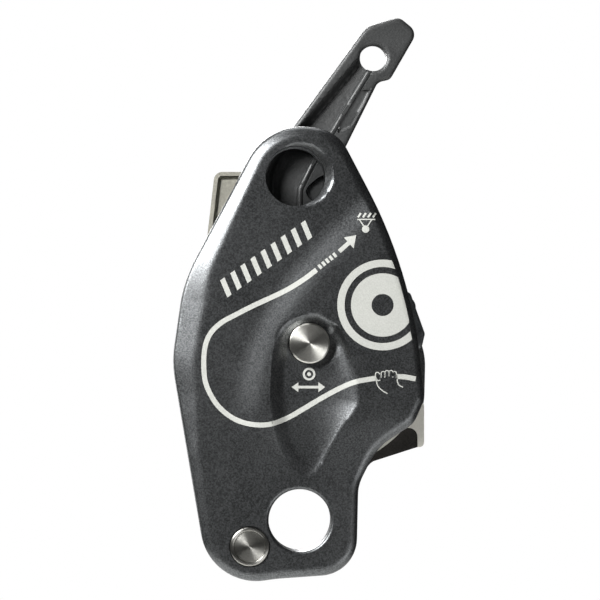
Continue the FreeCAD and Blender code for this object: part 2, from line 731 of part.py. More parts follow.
nodes = {
    "back_plate": back_plate,
    "main_axle": main_axle,
    "axle_washer": axle_washer,
    "axle_nut": axle_nut,
    "plate_pivot_pin": plate_pivot_pin,
    "pivot_washer": pivot_washer,
    "pivot_nut": pivot_nut,
    "anvil_block": anvil_block,
    "anvil_wear_shoe": anvil_wear_shoe,
    "anvil_screw": lambda: plate_screws([anvil_screw_spot], cam_front_y + 3.6),
    "anvil_dowel": anvil_dowel,
    "rope_exit_guide": exit_guide,
    "exit_guide_screws": lambda: plate_screws(guide_screws, cam_front_y + 4),
    "lever_stop_pins": stop_pin_set,
    "detent_ball": detent_ball,
    "detent_spring": detent_spring,
    "lever_return_spring": lever_return_spring,
    "rear_cover": rear_cover,
    "cover_screws": cover_screws,
    "cam": cam,
    "cam_bush": cam_bush,
    "cam_spring": cam_spring,
    "cam_flange": cam_flange,
    "cam_rivets": cam_rivets,
    "drive_pin": drive_pin,
    "thumb_tab": thumb_tab,
    "tab_rivets": tab_rivets,
    "front_plate": front_plate,
    "plate_bush": plate_bush,
    "release_button": release_button,
    "button_spring": button_spring,
    "button_clip": button_clip,
    "lever": lever,
    "hub_bush": hub_bush,
}

for name, make in nodes.items():
    shape = make()
    shape.exportStep(f"parts/{name}.step")
    print(f"{name}: {shape.Volume / 1000:.2f} cm3, {len(shape.Solids)} solid, valid {shape.isValid()}")
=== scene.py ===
import json
import math
import bpy
import numpy as np
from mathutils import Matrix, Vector
from mathutils.geometry import delaunay_2d_cdt


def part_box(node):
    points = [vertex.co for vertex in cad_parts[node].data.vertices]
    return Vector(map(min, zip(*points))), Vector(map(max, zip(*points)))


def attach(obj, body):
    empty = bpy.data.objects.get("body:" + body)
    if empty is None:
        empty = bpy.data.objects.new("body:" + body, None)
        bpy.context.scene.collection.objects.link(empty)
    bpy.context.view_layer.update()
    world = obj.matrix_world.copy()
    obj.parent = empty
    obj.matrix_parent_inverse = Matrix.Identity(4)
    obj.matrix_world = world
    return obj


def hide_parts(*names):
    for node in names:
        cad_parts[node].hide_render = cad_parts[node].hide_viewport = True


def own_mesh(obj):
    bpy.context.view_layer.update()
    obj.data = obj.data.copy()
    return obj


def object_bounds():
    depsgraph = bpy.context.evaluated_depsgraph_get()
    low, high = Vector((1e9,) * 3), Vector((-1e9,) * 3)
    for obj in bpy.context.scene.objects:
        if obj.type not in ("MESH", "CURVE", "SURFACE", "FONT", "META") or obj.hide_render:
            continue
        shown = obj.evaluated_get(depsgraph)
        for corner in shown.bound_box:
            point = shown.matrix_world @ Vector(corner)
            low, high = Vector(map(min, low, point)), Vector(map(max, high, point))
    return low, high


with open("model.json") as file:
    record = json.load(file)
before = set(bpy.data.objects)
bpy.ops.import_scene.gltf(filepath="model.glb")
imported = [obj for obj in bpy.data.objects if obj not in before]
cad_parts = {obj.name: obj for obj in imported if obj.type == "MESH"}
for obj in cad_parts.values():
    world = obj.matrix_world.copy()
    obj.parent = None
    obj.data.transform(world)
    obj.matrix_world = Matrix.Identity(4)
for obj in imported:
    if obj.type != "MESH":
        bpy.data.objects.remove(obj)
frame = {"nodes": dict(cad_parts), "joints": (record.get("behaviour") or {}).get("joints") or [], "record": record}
cadBounds = [list(corner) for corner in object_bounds()]
mm = 0.001  # every size below is in millimetres and is scaled by this once
meshing = {
    "weld": 2e-6,  # metres; points nearer than this become one
    "onFace": 1e-3, "keySteps": 1e4,  # how near a face's plane a corner lies, and its rounding
    "rowShare": 0.866,  # rows of a field of equal-sided triangles
    "clearShare": 0.5, "creaseShare": 0.45,  # how far the field keeps from rings and from creases
    "snap": 1e-5,
}
nodes = frame["nodes"]
joints = {joint["name"]: joint for joint in frame["joints"]}


# places read from the frame

def jointSpot(name):  # x and z of a hinge's axis
    x, y, z = joints[name]["pos_m"]
    return np.array([x, z]) / mm


axleSpot = jointSpot("cam_pivot")
pivotSpot = jointSpot("plate_swing")
mountSpot = {m["name"]: np.array(m["pos_m"]) / mm for m in frame["record"]["mounts"]}
mountRadius = {m["name"]: m["dims"]["r_mm"] for m in frame["record"]["mounts"]}
upperHole = mountSpot["upper_hole"][[0, 2]]
cordHole = mountSpot["lever_cord_hole"][[0, 2]]
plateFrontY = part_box("front_plate")[0].y / mm
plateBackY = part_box("front_plate")[1].y / mm
print("frame read")


# small numpy tools

def smoothStep(low, high, value):  # 0 below low, 1 above high, an S between
    share = np.clip((value - low) / (high - low), 0, 1)
    return share * share * (3 - 2 * share)


def runAlong(path):  # how far along an open path each of its points lies: its runs added up
    return np.concatenate([[0], np.cumsum(np.linalg.norm(np.diff(path, axis=0), axis=1))])


def pointsAt(path, along, wanted):  # the points at the wanted distances along a path
    return np.stack([np.interp(wanted, along, path[:, axis]) for axis in (0, 1)], 1)


def resampled(loop, spacing, fewest=12):  # the closed loop again, with points evenly spaced along it
    closed = np.vstack([loop, loop[:1]])
    along = runAlong(closed)
    count = max(int(round(along[-1] / spacing)), fewest)
    return pointsAt(closed, along, np.linspace(0, along[-1], count, endpoint=False))


def resampledPath(path, spacing):  # the same for an open path, which keeps both its ends
    along = runAlong(path)
    return pointsAt(path, along, np.linspace(0, along[-1], max(int(along[-1] / spacing), 2) + 1))


def signedArea(loop):  # half the sum of the cross products; positive where the loop runs anticlockwise
    following = np.roll(loop, -1, 0)
    return 0.5 * np.sum(loop[:, 0] * following[:, 1] - following[:, 0] * loop[:, 1])


def inset(loop, distance):  # each point moved inwards along the loop's normal
    run = np.roll(loop, -1, 0) - np.roll(loop, 1, 0)
    run = run / np.linalg.norm(run, axis=1, keepdims=True)
    inward = np.stack([-run[:, 1], run[:, 0]], 1) * np.sign(signedArea(loop))
    return loop + inward * distance


def circle(centre, radius, count=72):  # centre plus radius times cosine and sine of even turns
    turn = np.linspace(0, 2 * np.pi, count, endpoint=False)
    return np.array(centre) + radius * np.stack([np.cos(turn), np.sin(turn)], 1)


def toPath(points, path, closed=False):
    # nearest distance from each point to a path of straight runs, where along the path that is,
    # and on which side: positive on the left of the path's direction
    start = path if closed else path[:-1]
    end = np.roll(path, -1, 0) if closed else path[1:]
    run = end - start
    runLength = np.linalg.norm(run, axis=1)
    along = np.concatenate([[0], np.cumsum(runLength)])[:-1]
    best = np.full(len(points), np.inf)
    where = np.zeros(len(points))
    side = np.ones(len(points))
    for number in range(len(run)):
        offset = points - start[number]
        share = np.clip(offset @ run[number] / runLength[number] ** 2, 0, 1)
        gap = offset - share[:, None] * run[number]
        distance = np.linalg.norm(gap, axis=1)
        nearer = distance < best - 1e-9
        best = np.where(nearer, distance, best)
        where = np.where(nearer, along[number] + share * runLength[number], where)
        cross = run[number][0] * offset[:, 1] - run[number][1] * offset[:, 0]
        side = np.where(nearer, np.sign(cross), side)
    return best, where, side


def gapTo(points, path, closed=False):  # only how far each point lies from the path
    return toPath(points, path, closed=closed)[0]


def inside(points, loop):  # even-odd rule, for many points at once
    result = np.zeros(len(points), bool)
    following = np.roll(loop, -1, 0)
    for (ax, ay), (bx, by) in zip(loop, following):
        crosses = (ay > points[:, 1]) != (by > points[:, 1])
        reach = (bx - ax) * (points[:, 1] - ay) / ((by - ay) if by != ay else 1e-12) + ax
        result ^= crosses & (points[:, 0] < reach)
    return result


def smoothCurve(points, spacing, closed=False, steps=24):
    # a Catmull-Rom curve through a few points, sampled evenly
    points = np.array(points, float)
    if closed:
        padded = np.vstack([points[-1:], points, points[:2]])
    else:
        padded = np.vstack([2 * points[:1] - points[1:2], points, 2 * points[-1:] - points[-2:-1]])
    share = np.linspace(0, 1, steps, endpoint=False)[:, None]
    pieces = []
    for a, b, c, d in zip(padded[:-3], padded[1:-2], padded[2:-1], padded[3:]):
        pieces.append(0.5 * (2 * b + (c - a) * share + (2 * a - 5 * b + 4 * c - d) * share ** 2
                             + (3 * b - a - 3 * c + d) * share ** 3))
    return resampledPath(np.vstack(pieces + ([] if closed else [points[-1:]])), spacing)


def offsetPath(path, distance):  # an open path moved sideways, to its left for a positive distance
    run = np.gradient(np.array(path, float), axis=0)
    run /= np.linalg.norm(run, axis=1, keepdims=True)
    return path + np.stack([-run[:, 1], run[:, 0]], 1) * distance


def addPiece(name, vertices, faces, body, smoothAngle=32):
    # puts the arrays into a mesh, welds its seams and points its faces outwards
    mesh = bpy.data.meshes.new(name)
    mesh.from_pydata((np.asarray(vertices) * mm).tolist(), [], [list(face) for face in faces])
    piece = bpy.data.objects.new(name, mesh)
    bpy.context.scene.collection.objects.link(piece)
    bpy.context.view_layer.objects.active = piece
    bpy.ops.object.select_all(action="DESELECT")
    piece.select_set(True)
    bpy.ops.object.mode_set(mode="EDIT")
    bpy.ops.mesh.select_all(action="SELECT")
    bpy.ops.mesh.remove_doubles(threshold=meshing["weld"])
    bpy.ops.mesh.normals_make_consistent(inside=False)
    bpy.ops.object.mode_set(mode="OBJECT")
    mesh.shade_smooth()
    mesh.set_sharp_from_angle(angle=math.radians(smoothAngle))
    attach(piece, body)
    return piece


def flatFaceLoops(node, planeY):
    # the boundary loops of a CAD node's flat face at planeY, largest first, as x and z in millimetres:
    # the edges that only one of the face's triangles uses, chained end to end
    mesh = nodes[node].data
    mesh.calc_loop_triangles()
    spots = np.zeros(len(mesh.vertices) * 3)
    mesh.vertices.foreach_get("co", spots)
    spots = spots.reshape(-1, 3) / mm
    corners = np.zeros(len(mesh.loop_triangles) * 3, int)
    mesh.loop_triangles.foreach_get("vertices", corners)
    triangles = corners.reshape(-1, 3)
    onFace = np.all(np.abs(spots[triangles][:, :, 1] - planeY) < meshing["onFace"], axis=1)
    rounded = np.round(spots * meshing["keySteps"]).astype(int)
    keys, welded = np.unique(rounded, axis=0, return_inverse=True)
    flat = welded.reshape(-1)[triangles[onFace]]
    pairs = np.vstack([flat[:, [0, 1]], flat[:, [1, 2]], flat[:, [2, 0]]])
    known = set(map(tuple, pairs))
    onward = {a: b for a, b in known if (b, a) not in known}
    loops = []
    while onward:
        start, spot = onward.popitem()
        chain = [start]
        while spot != start:
            chain.append(spot)
            spot = onward.pop(spot)
        loops.append(keys[chain][:, [0, 2]] / meshing["keySteps"])
    return sorted(loops, key=lambda loop: -abs(signedArea(loop)))


def sheetOver(outline, ringDepths, holes, spacing, creases=()):
    # A triangle mesh over an outline with holes in it: rings close to the outline and the holes,
    # points along the creases, then an even field that keeps clear of them all.
    clear = spacing * meshing["clearShare"]
    rings = [outline] + [inset(outline, depth) for depth in ringDepths]
    holeLoops = [hole["loop"] for hole in holes]
    nearHoles = list(holeLoops)
    for hole in holes:
        centre = hole["loop"].mean(0)
        for grow in hole.get("rings", ()):
            out = hole["loop"] - centre
            nearHoles.append(centre + out * (1 + grow / np.linalg.norm(out, axis=1, keepdims=True)))
    low, high = outline.min(0), outline.max(0)
    columns = np.arange(low[0], high[0], spacing)
    rows = np.arange(low[1], high[1], spacing * meshing["rowShare"])
    field = np.stack(np.meshgrid(columns, rows), -1)
    field[1::2, :, 0] += spacing / 2
    field = field.reshape(-1, 2)
    deepest = max(ringDepths) if ringDepths else 0
    field = field[inside(field, outline)]
    field = field[gapTo(field, outline, closed=True) > deepest + clear]
    for hole in holes:
        if hole.get("round", True):
            centre = hole["loop"].mean(0)
            reach = np.linalg.norm(hole["loop"] - centre, axis=1).max() + max(hole.get("rings", (0,)))
            field = field[np.linalg.norm(field - centre, axis=1) > reach + clear]
        else:
            gap = gapTo(field, hole["loop"], closed=True)
            field = field[(gap > clear) & ~inside(field, hole["loop"])]
    for crease in creases:  # paths that get points of their own, so that an edge in the relief is crisp
        field = field[gapTo(field, crease) > spacing * meshing["creaseShare"]]
    flat = np.vstack(rings + nearHoles + list(creases) + [field])
    edges = []
    first = 0
    for loop in [outline] + holeLoops:  # these are edges of the mesh; the rings are only points
        edges += [(first + n, first + (n + 1) % len(loop)) for n in range(len(loop))]
        first += len(loop) * (len(rings) if loop is outline else 1)
    spots, _, triangles, *_ = delaunay_2d_cdt(
        [Vector(p) for p in flat.tolist()], edges, [], 1, meshing["snap"])
    spots = np.array([list(s) for s in spots])
    triangles = np.array([list(t) for t in triangles])
    middle = spots[triangles].mean(1)
    keep = inside(middle, outline)
    for hole in holes:
        keep &= ~inside(middle, hole["loop"])
    return spots, triangles[keep]


def wallBetween(loops):
    # strips joining closed loops of the same length, each an array of x, y, z
    count = len(loops[0])
    vertices = np.vstack(loops)
    here = np.arange(count)
    onward = (here + 1) % count
    faces = []
    for number in range(len(loops) - 1):
        a, b = number * count, (number + 1) * count
        faces.append(np.stack([a + here, a + onward, b + onward, b + here], 1))
    return vertices, np.vstack(faces)


def lifted(loop, y):  # x and z with a height, as x, y, z
    return np.stack([loop[:, 0], np.broadcast_to(y, len(loop)), loop[:, 1]], 1)


def joined(parts):  # several meshes as one: their arrays stacked, with the face numbers moved on
    vertices, faces, first = [], [], 0
    for spots, polygons in parts:
        vertices.append(spots)
        faces += (np.asarray(polygons) + first).tolist()
        first += len(spots)
    return np.vstack(vertices), faces


def ringed(hole, profile):
    # a hole's wall: circles round its centre at each radius and height of the profile
    centre = hole["loop"].mean(0)
    return [lifted(circle(centre, radius, len(hole["loop"])), y) for radius, y in profile]


print("tools ready")


def linearColour(hexCode):  # an sRGB hex colour as linear red, green, blue and 1
    channels = [int(hexCode[place:place + 2], 16) / 255 for place in (1, 3, 5)]
    return [c / 12.92 if c <= 0.04045 else ((c + 0.055) / 1.055) ** 2.4 for c in channels] + [1.0]


def addNode(tree, kind, sockets=None, **settings):
    # a node with its settings; a socket's value is a plain value, or another node's output to link
    node = tree.nodes.new(kind)
    for name, value in settings.items():
        setattr(node, name, value)
    for socket, value in (sockets or {}).items():
        if isinstance(value, bpy.types.NodeSocket):
            tree.links.new(value, node.inputs[socket])
        else:
            node.inputs[socket].default_value = value
    return node


def addMaterial(name, look):
    # One metal or plastic surface. Two noises tint it and vary its gloss: the grain of the process
    # and slow stains or wear. "rings" gives turning marks about a centre, as sin(radius x 2 pi /
    # pitch), with the highlight stretched round them; "drawn" stretches the grain along one axis.
    material = bpy.data.materials.new(name)
    material.use_nodes = True
    tree = material.node_tree
    tree.nodes.clear()
    spot = addNode(tree, "ShaderNodeTexCoord").outputs["Object"]
    stretch = look.get("drawn", (1, 1, 1))
    along = addNode(tree, "ShaderNodeMapping", {"Vector": spot, "Scale": stretch}).outputs["Vector"]
    grain = addNode(tree, "ShaderNodeTexNoise", {
        "Vector": along, "Scale": 1 / (look["grain"] * mm), "Detail": 3.0, "Roughness": 0.6}).outputs["Fac"]
    slow = addNode(tree, "ShaderNodeTexNoise", {
        "Vector": spot, "Scale": 1 / (look.get("stain", 9.0) * mm), "Detail": 4.0}).outputs["Fac"]
    blend = addNode(tree, "ShaderNodeMapRange", {
        "Value": grain, "From Min": 0.36, "From Max": 0.66, "To Min": 0.0, "To Max": 1.0}).outputs["Result"]
    tint = addNode(tree, "ShaderNodeMix", {
        "Factor": blend, "A": linearColour(look["base"]), "B": linearColour(look["fleck"])},
        data_type="RGBA")
    tone = addNode(tree, "ShaderNodeMix", {
        "Factor": addNode(tree, "ShaderNodeMapRange", {
            "Value": slow, "From Min": 0.4, "From Max": 0.7, "To Min": 0.0,
            "To Max": look.get("stained", 0.25)}).outputs["Result"],
        "A": tint.outputs["Result"], "B": linearColour(look.get("worn", look["fleck"]))}, data_type="RGBA")
    spread = look.get("spread", 0.08)
    gloss = addNode(tree, "ShaderNodeMapRange", {
        "Value": addNode(tree, "ShaderNodeMath", {0: grain, 1: slow}, operation="ADD").outputs["Value"],
        "From Min": 0.7, "From Max": 1.3, "To Min": look["roughness"] - spread,
        "To Max": look["roughness"] + spread}).outputs["Result"]
    bump = addNode(tree, "ShaderNodeBump", {
        "Height": grain, "Strength": 1.0, "Distance": look["bump"] * mm})
    shader = {"Metallic": look["metallic"], "Roughness": gloss, "Base Color": tone.outputs["Result"]}
    if "rings" in look:
        x, z = look["rings"]
        vector = "ShaderNodeVectorMath"
        out = addNode(tree, vector, {0: spot, 1: (x * mm, 0, z * mm)}, operation="SUBTRACT")
        flat = addNode(tree, vector, {0: out.outputs[0], 1: (1, 0, 1)}, operation="MULTIPLY")
        radius = addNode(tree, vector, {0: flat.outputs[0]}, operation="LENGTH")
        turns = addNode(tree, "ShaderNodeMath", {
            0: radius.outputs["Value"], 1: 2 * math.pi / (look["pitch"] * mm)}, operation="MULTIPLY")
        wave = addNode(tree, "ShaderNodeMath", {0: turns.outputs[0]}, operation="SINE")
        bump = addNode(tree, "ShaderNodeBump", {
            "Height": wave.outputs[0], "Strength": 1.0, "Distance": look["groove"] * mm,
            "Normal": bump.outputs["Normal"]})
        shader["Tangent"] = addNode(tree, vector, {0: flat.outputs[0]}, operation="NORMALIZE").outputs[0]
        shader["Anisotropic"] = look.get("stretchedShine", 0.6)
    shader["Normal"] = bump.outputs["Normal"]
    for socket, value in look.get("shader", {}).items():
        shader[socket] = value
    surface = addNode(tree, "ShaderNodeBsdfPrincipled", shader)
    addNode(tree, "ShaderNodeOutputMaterial", {"Surface": surface.outputs["BSDF"]})
    return material


surfaces = {
    # satin dark-grey coating on shot-blasted alloy: a fine sparkle and an even, soft shine
    "satinPlateCoating": {
        "base": "#454647", "fleck": "#686a6b", "worn": "#565758", "metallic": 0.96, "roughness": 0.36,
        "grain": 0.45, "bump": 0.03, "stain": 14.0, "stained": 0.3, "spread": 0.05,
        "shader": {"Specular IOR Level": 0.5}},
    # the same coating on the rope guide, which is rubbed smoother by the rope
    "rubbedGuideCoating": {
        "base": "#45484a", "fleck": "#636668", "worn": "#77797a", "metallic": 0.6, "roughness": 0.36,
        "grain": 0.45, "bump": 0.03, "stain": 6.0, "stained": 0.45},
    # painted die casting: slightly pebbly and semi-matt
    "diecastLeverPaint": {
        "base": "#2a2b2b", "fleck": "#363737", "worn": "#404141", "metallic": 0.15, "roughness": 0.46,
        "grain": 0.6, "bump": 0.05, "stain": 10.0, "stained": 0.3,
        "shader": {"Specular IOR Level": 0.5}},
    # investment-cast and tumbled stainless steel: soft grey with brighter rubbed patches
    "tumbledCastStainless": {
        "base": "#a5a398", "fleck": "#b5b3a8", "worn": "#c2c0b6", "metallic": 0.95, "roughness": 0.46,
        "grain": 0.7, "bump": 0.02, "stain": 7.0, "stained": 0.2, "spread": 0.05},
    # wear shoe: the same steel, blasted matt; its base colour is lightened past the cast steel's as painted light,
    # standing in for light falling on the shoe
    "blastedShoeWithPaintedLight": {
        "base": "#dad8cf", "fleck": "#e4e2da", "worn": "#c9c7bd", "metallic": 0.85, "roughness": 0.56,
        "grain": 0.6, "bump": 0.02, "stain": 6.0, "stained": 0.2, "spread": 0.04},
    # glass-filled nylon moulding: matt with a spark-eroded grain
    "mouldedNylonCover": {
        "base": "#232425", "fleck": "#2c2d2e", "metallic": 0.0, "roughness": 0.6, "grain": 0.5,
        "bump": 0.05, "shader": {"IOR": 1.53}},
    # passivated steel plate and laminations of the cam
    "groundCamSteel": {
        "base": "#8d8c88", "fleck": "#a3a29e", "worn": "#b4b3ae", "metallic": 1.0, "roughness": 0.34,
        "grain": 0.5, "bump": 0.012, "drawn": (1.0, 1.0, 0.12), "stain": 6.0, "stained": 0.4},
    # hardened anvil block, black-oxide finish
    "blackOxideSteel": {
        "base": "#2b2927", "fleck": "#383634", "worn": "#4a4744", "metallic": 0.75, "roughness": 0.46,
        "grain": 0.5, "bump": 0.02, "stain": 5.0, "stained": 0.35},
    # bright zinc plating: bluish and softly cloudy
    "brightZincPlate": {
        "base": "#9fa3a6", "fleck": "#b5b9bc", "metallic": 1.0, "roughness": 0.3, "grain": 0.5,
        "bump": 0.01, "stain": 4.0},
    # drawn spring wire: shiny with fine lines and a dark oil tint
    "drawnSpringWire": {
        "base": "#77777a", "fleck": "#8c8c8f", "metallic": 1.0, "roughness": 0.26, "grain": 0.3,
        "bump": 0.008},
    # blackened socket screws
    "blackenedScrewSteel": {
        "base": "#1f1f20", "fleck": "#2a2a2b", "metallic": 0.8, "roughness": 0.4, "grain": 0.3,
        "bump": 0.015},
    # screen-printed ink: warm white, matt, with the coating's grain showing through
    "screenPrintedInk": {
        "base": "#9c9d98", "fleck": "#aaaba6", "metallic": 0.0, "roughness": 0.62, "grain": 0.45,
        "bump": 0.03, "shader": {"IOR": 1.5}},
    # sintered bronze bushes: warm and slightly porous
    "sinteredBronze": {
        "base": "#8a6a3f", "fleck": "#a27f50", "metallic": 1.0, "roughness": 0.44, "grain": 0.3,
        "bump": 0.02},
}
turnedLook = {  # turned stainless steel, with visible tool marks about its axis
    "base": "#c4c3bd", "fleck": "#cfcec8", "worn": "#b4b3ad", "metallic": 1.0, "roughness": 0.34,
    "grain": 0.5, "bump": 0.0006, "spread": 0.02, "stained": 0.3,
    "pitch": 0.7, "groove": 0.0035, "stretchedShine": 0.88}
surfaces["turnedButtonSteel"] = {**turnedLook, "rings": tuple(axleSpot)}
surfaces["turnedPivotSteel"] = {
    **turnedLook, "rings": tuple(pivotSpot), "base": "#8e8d89", "fleck": "#9c9b96"}
materials = {name: addMaterial(name, look) for name, look in surfaces.items()}
print("materials:", len(materials))

finishes = {  # which surface each CAD node has
    "satinPlateCoating": ["front_plate", "back_plate"],
    "rubbedGuideCoating": ["rope_exit_guide"],
    "diecastLeverPaint": ["lever"],
    "tumbledCastStainless": ["cam", "thumb_tab"],
    "blastedShoeWithPaintedLight": ["anvil_wear_shoe"],
    "mouldedNylonCover": ["rear_cover"],
    "groundCamSteel": ["cam_flange"],
    "blackOxideSteel": ["anvil_block", "button_clip"],
    "brightZincPlate": ["axle_washer", "axle_nut", "pivot_washer", "pivot_nut", "cam_rivets", "tab_rivets",
                        "drive_pin", "lever_stop_pins", "anvil_dowel", "detent_ball"],
    "drawnSpringWire": ["cam_spring", "button_spring", "detent_spring", "lever_return_spring"],
    "blackenedScrewSteel": ["anvil_screw", "exit_guide_screws", "cover_screws"],
    "sinteredBronze": ["cam_bush", "plate_bush", "hub_bush"],
    "turnedButtonSteel": ["main_axle", "release_button"],
    "turnedPivotSteel": ["plate_pivot_pin"],
}


def setMaterial(piece, name):  # the one surface of a piece
    piece.data.materials.clear()
    piece.data.materials.append(materials[name])


for name, members in finishes.items():
    for member in members:
        setMaterial(nodes[member], name)
bare = sorted(set(nodes) - {member for members in finishes.values() for member in members})
print("nodes without a finish:", bare)


# front plate: forged and machined relief

frontPlate = {
    "holeEdge": 1.0,          # rounding at the connector hole's front rim
    "edgeRound": 0.9,         # the outline's small outer radius
    "fieldSpacing": 0.75,
    "buttonBore": 6.35, "webFront": -3.7, "webBack": -2.6, "stemBore": 2.54, "clipRecess": 4.6,
    "pivotRecess": 6.2, "pivotFloor": plateFrontY + 1.0, "bushBore": 5.2,
    "outlineSpacing": 0.8, "sideRings": (1.5, 2.2), "backEdge": 0.35, "backSpacing": 6.0,
    "upperRings": (0.3, 0.7, 1.2, 1.8, 2.5, 3.3), "buttonRings": (0.3, 0.9, 1.6, 2.3, 3.0),
    "blend": {"chamfer": 0.18, "raised": 0.3, "scoop": 0.2},  # rounded share of each ramp
    # soft chamfer: x, z, its width and its drop at the outline
    "chamfer": [
        (-14, 110, 3.2, 1.7), (-24, 93, 4.3, 1.9), (-31, 79, 5.4, 2.0), (-35.5, 67, 7.4, 2.2),
        (-37.6, 52, 6.6, 2.1), (-36.5, 38, 5.6, 1.9), (-34, 20, 3.1, 1.4), (-30.5, 2, 2.7, 1.2),
        (-25, -13, 2.3, 1.1), (-8, -17.7, 2.1, 1.0), (12, -15, 2.0, 0.9), (17.4, 2, 1.7, 0.8),
        (22, 19, 1.8, 0.8), (32, 28, 1.9, 0.9), (36.8, 41, 1.7, 0.9), (35, 57, 1.8, 1.2),
        (31.4, 72, 2.0, 1.4), (24.4, 92, 2.2, 1.5), (14, 112, 2.2, 1.4), (4, 118, 2.6, 1.5),
    ],
    # raised middle: the foot of its long upper-left slope, and where the slope starts to fade
    "raisedPath": [(24.4, 104.5), (16.9, 96.0), (7.6, 86.6), (-3.2, 74.0), (-11.4, 62.0), (-16.4, 50.0),
                   (-19.2, 38.0), (-19.8, 27.0), (-18.0, 17.0), (-14.4, 7.0)],
    "raisedHeight": 1.45, "raisedSlope": 8.0, "raisedFade": (34.0, 12.0),
    # scoop round the button: its steep left wall and its gentle right slope
    "scoopLeft": [(9.2, 60.0), (5.2, 62.0), (0.9, 61.3), (-3.2, 59.6), (-6.0, 56.9), (-7.5, 53.1),
                  (-8.4, 48.2), (-8.8, 42.0), (-8.9, 35.2), (-8.2, 29.0), (-6.7, 23.1), (-3.6, 16.9),
                  (0.5, 11.5)],
    "scoopRight": [(9.2, 60.0), (12.6, 56.6), (15.2, 49.7), (16.8, 43.5), (17.6, 37.0), (17.0, 33.8),
                   (12.8, 28.0), (9.2, 21.7), (5.7, 15.5), (0.5, 11.5)],
    "scoopDepth": 2.9, "scoopWall": 4.4, "scoopFade": (36.0, 11.0),
    "scoopCurl": 3.3, "scoopBlend": 3.5,  # how the floor curls up, and its least width
    "ringStep": (9.0, 0.9, 0.15),  # low land round the button: its radius, its edge's width and its drop
    "creaseClear": 3.6,  # how far the scoop's creases keep from the button's bore
    # conical scallop in the upper hole's rim, off to the right
    "scallop": {"shift": (1.9, 0.5), "radius": 9.7, "slope": 1.25, "rimRound": 0.5},
}


def edgeRounding(edgeDistance, radius):
    # how far a quarter-round edge falls away: its radius less the root of radius squared less the
    # distance from its centre squared
    near = radius - np.clip(edgeDistance, 0, radius)
    return radius - np.sqrt(radius ** 2 - near ** 2)


def roundSteps(radius, degrees):  # radius less its cosine: even turns round a quarter-round edge
    return [radius * (1 - math.cos(math.radians(angle))) for angle in degrees]


def evenRamp(share, blend):
    # 0 to 1 along a straight ramp whose two ends are rounded by parabolas over this share of it
    share = np.clip(share, -blend, 1 + blend)
    ramp = np.clip(share, 0, 1)
    near, far = np.abs(share) < blend, np.abs(share - 1) < blend
    ramp = np.where(near, (share + blend) ** 2 / (4 * blend), ramp)
    return np.where(far & ~near, 1 - (1 + blend - share) ** 2 / (4 * blend), ramp)


def frontPlateHeight(points, edgeDistance, edgeWhere, outline):
    # How far the front surface stands forward of the plain face: the raised middle, a ramp on one
    # side of a path, less the scoop and its ring, less the deeper of the soft chamfer (a straight
    # ramp with a rounded shoulder) and the scallop.
    s = frontPlate
    stations = np.array(s["chamfer"])
    _, stationWhere, _ = toPath(stations[:, :2], outline, closed=True)
    order = np.argsort(stationWhere)
    total = np.linalg.norm(np.roll(outline, -1, 0) - outline, axis=1).sum()
    width = np.interp(edgeWhere, stationWhere[order], stations[order, 2], period=total)
    drop = np.interp(edgeWhere, stationWhere[order], stations[order, 3], period=total)
    chamferDrop = drop * (1 - evenRamp(edgeDistance / width, s["blend"]["chamfer"]))
    chamferDrop += edgeRounding(edgeDistance, s["edgeRound"])
    path = smoothCurve(s["raisedPath"], 1.5)
    gap, _, side = toPath(points, path)
    raised = s["raisedHeight"] * evenRamp(gap * side / s["raisedSlope"], s["blend"]["raised"])
    start, end = s["raisedFade"]
    raised *= 1 - smoothStep(-start, -end, -points[:, 1])
    left = smoothCurve(s["scoopLeft"], 1.2)
    right = smoothCurve(s["scoopRight"], 1.2)
    fromLeft, _, leftSide = toPath(points, left)
    fromRight, _, rightSide = toPath(points, right)
    within = inside(points, np.vstack([left, right[::-1]]))
    # across the scoop: a steep wall on the left, then a floor that curls up to the right edge
    floorWidth = np.clip(fromLeft - s["scoopWall"], s["scoopBlend"], None)
    across = np.clip(fromRight / (fromRight + floorWidth), 0, 1)
    wall = evenRamp(fromLeft / s["scoopWall"], s["blend"]["scoop"])
    depth = np.minimum(wall, 1 - (1 - across) ** s["scoopCurl"])
    start, end = s["scoopFade"]
    fade = evenRamp((start - points[:, 1]) / (start - end), s["blend"]["scoop"])
    depth *= s["scoopDepth"] * (1 - fade) * within
    fromAxle = np.linalg.norm(points - axleSpot, axis=1)
    ringRadius, ringEdge, ringDrop = s["ringStep"]
    depth += ringDrop * (1 - smoothStep(ringRadius - ringEdge, ringRadius, fromAxle)) * within
    cone = s["scallop"]
    fromCone = np.linalg.norm(points - (upperHole + cone["shift"]), axis=1)
    coneDepth = np.clip(cone["radius"] - fromCone, 0, None)
    coneDrop = cone["slope"] * coneDepth ** 2 / (coneDepth + cone["rimRound"])
    return raised - depth - np.maximum(chamferDrop, coneDrop)


plateOutline = resampled(flatFaceLoops("front_plate", plateBackY)[0], frontPlate["outlineSpacing"])


def plateSurfaceY(points):  # the front surface's y at any x and z on the plate
    distance, where, _ = toPath(points, plateOutline, closed=True)
    return plateFrontY - frontPlateHeight(points, distance, where, plateOutline)


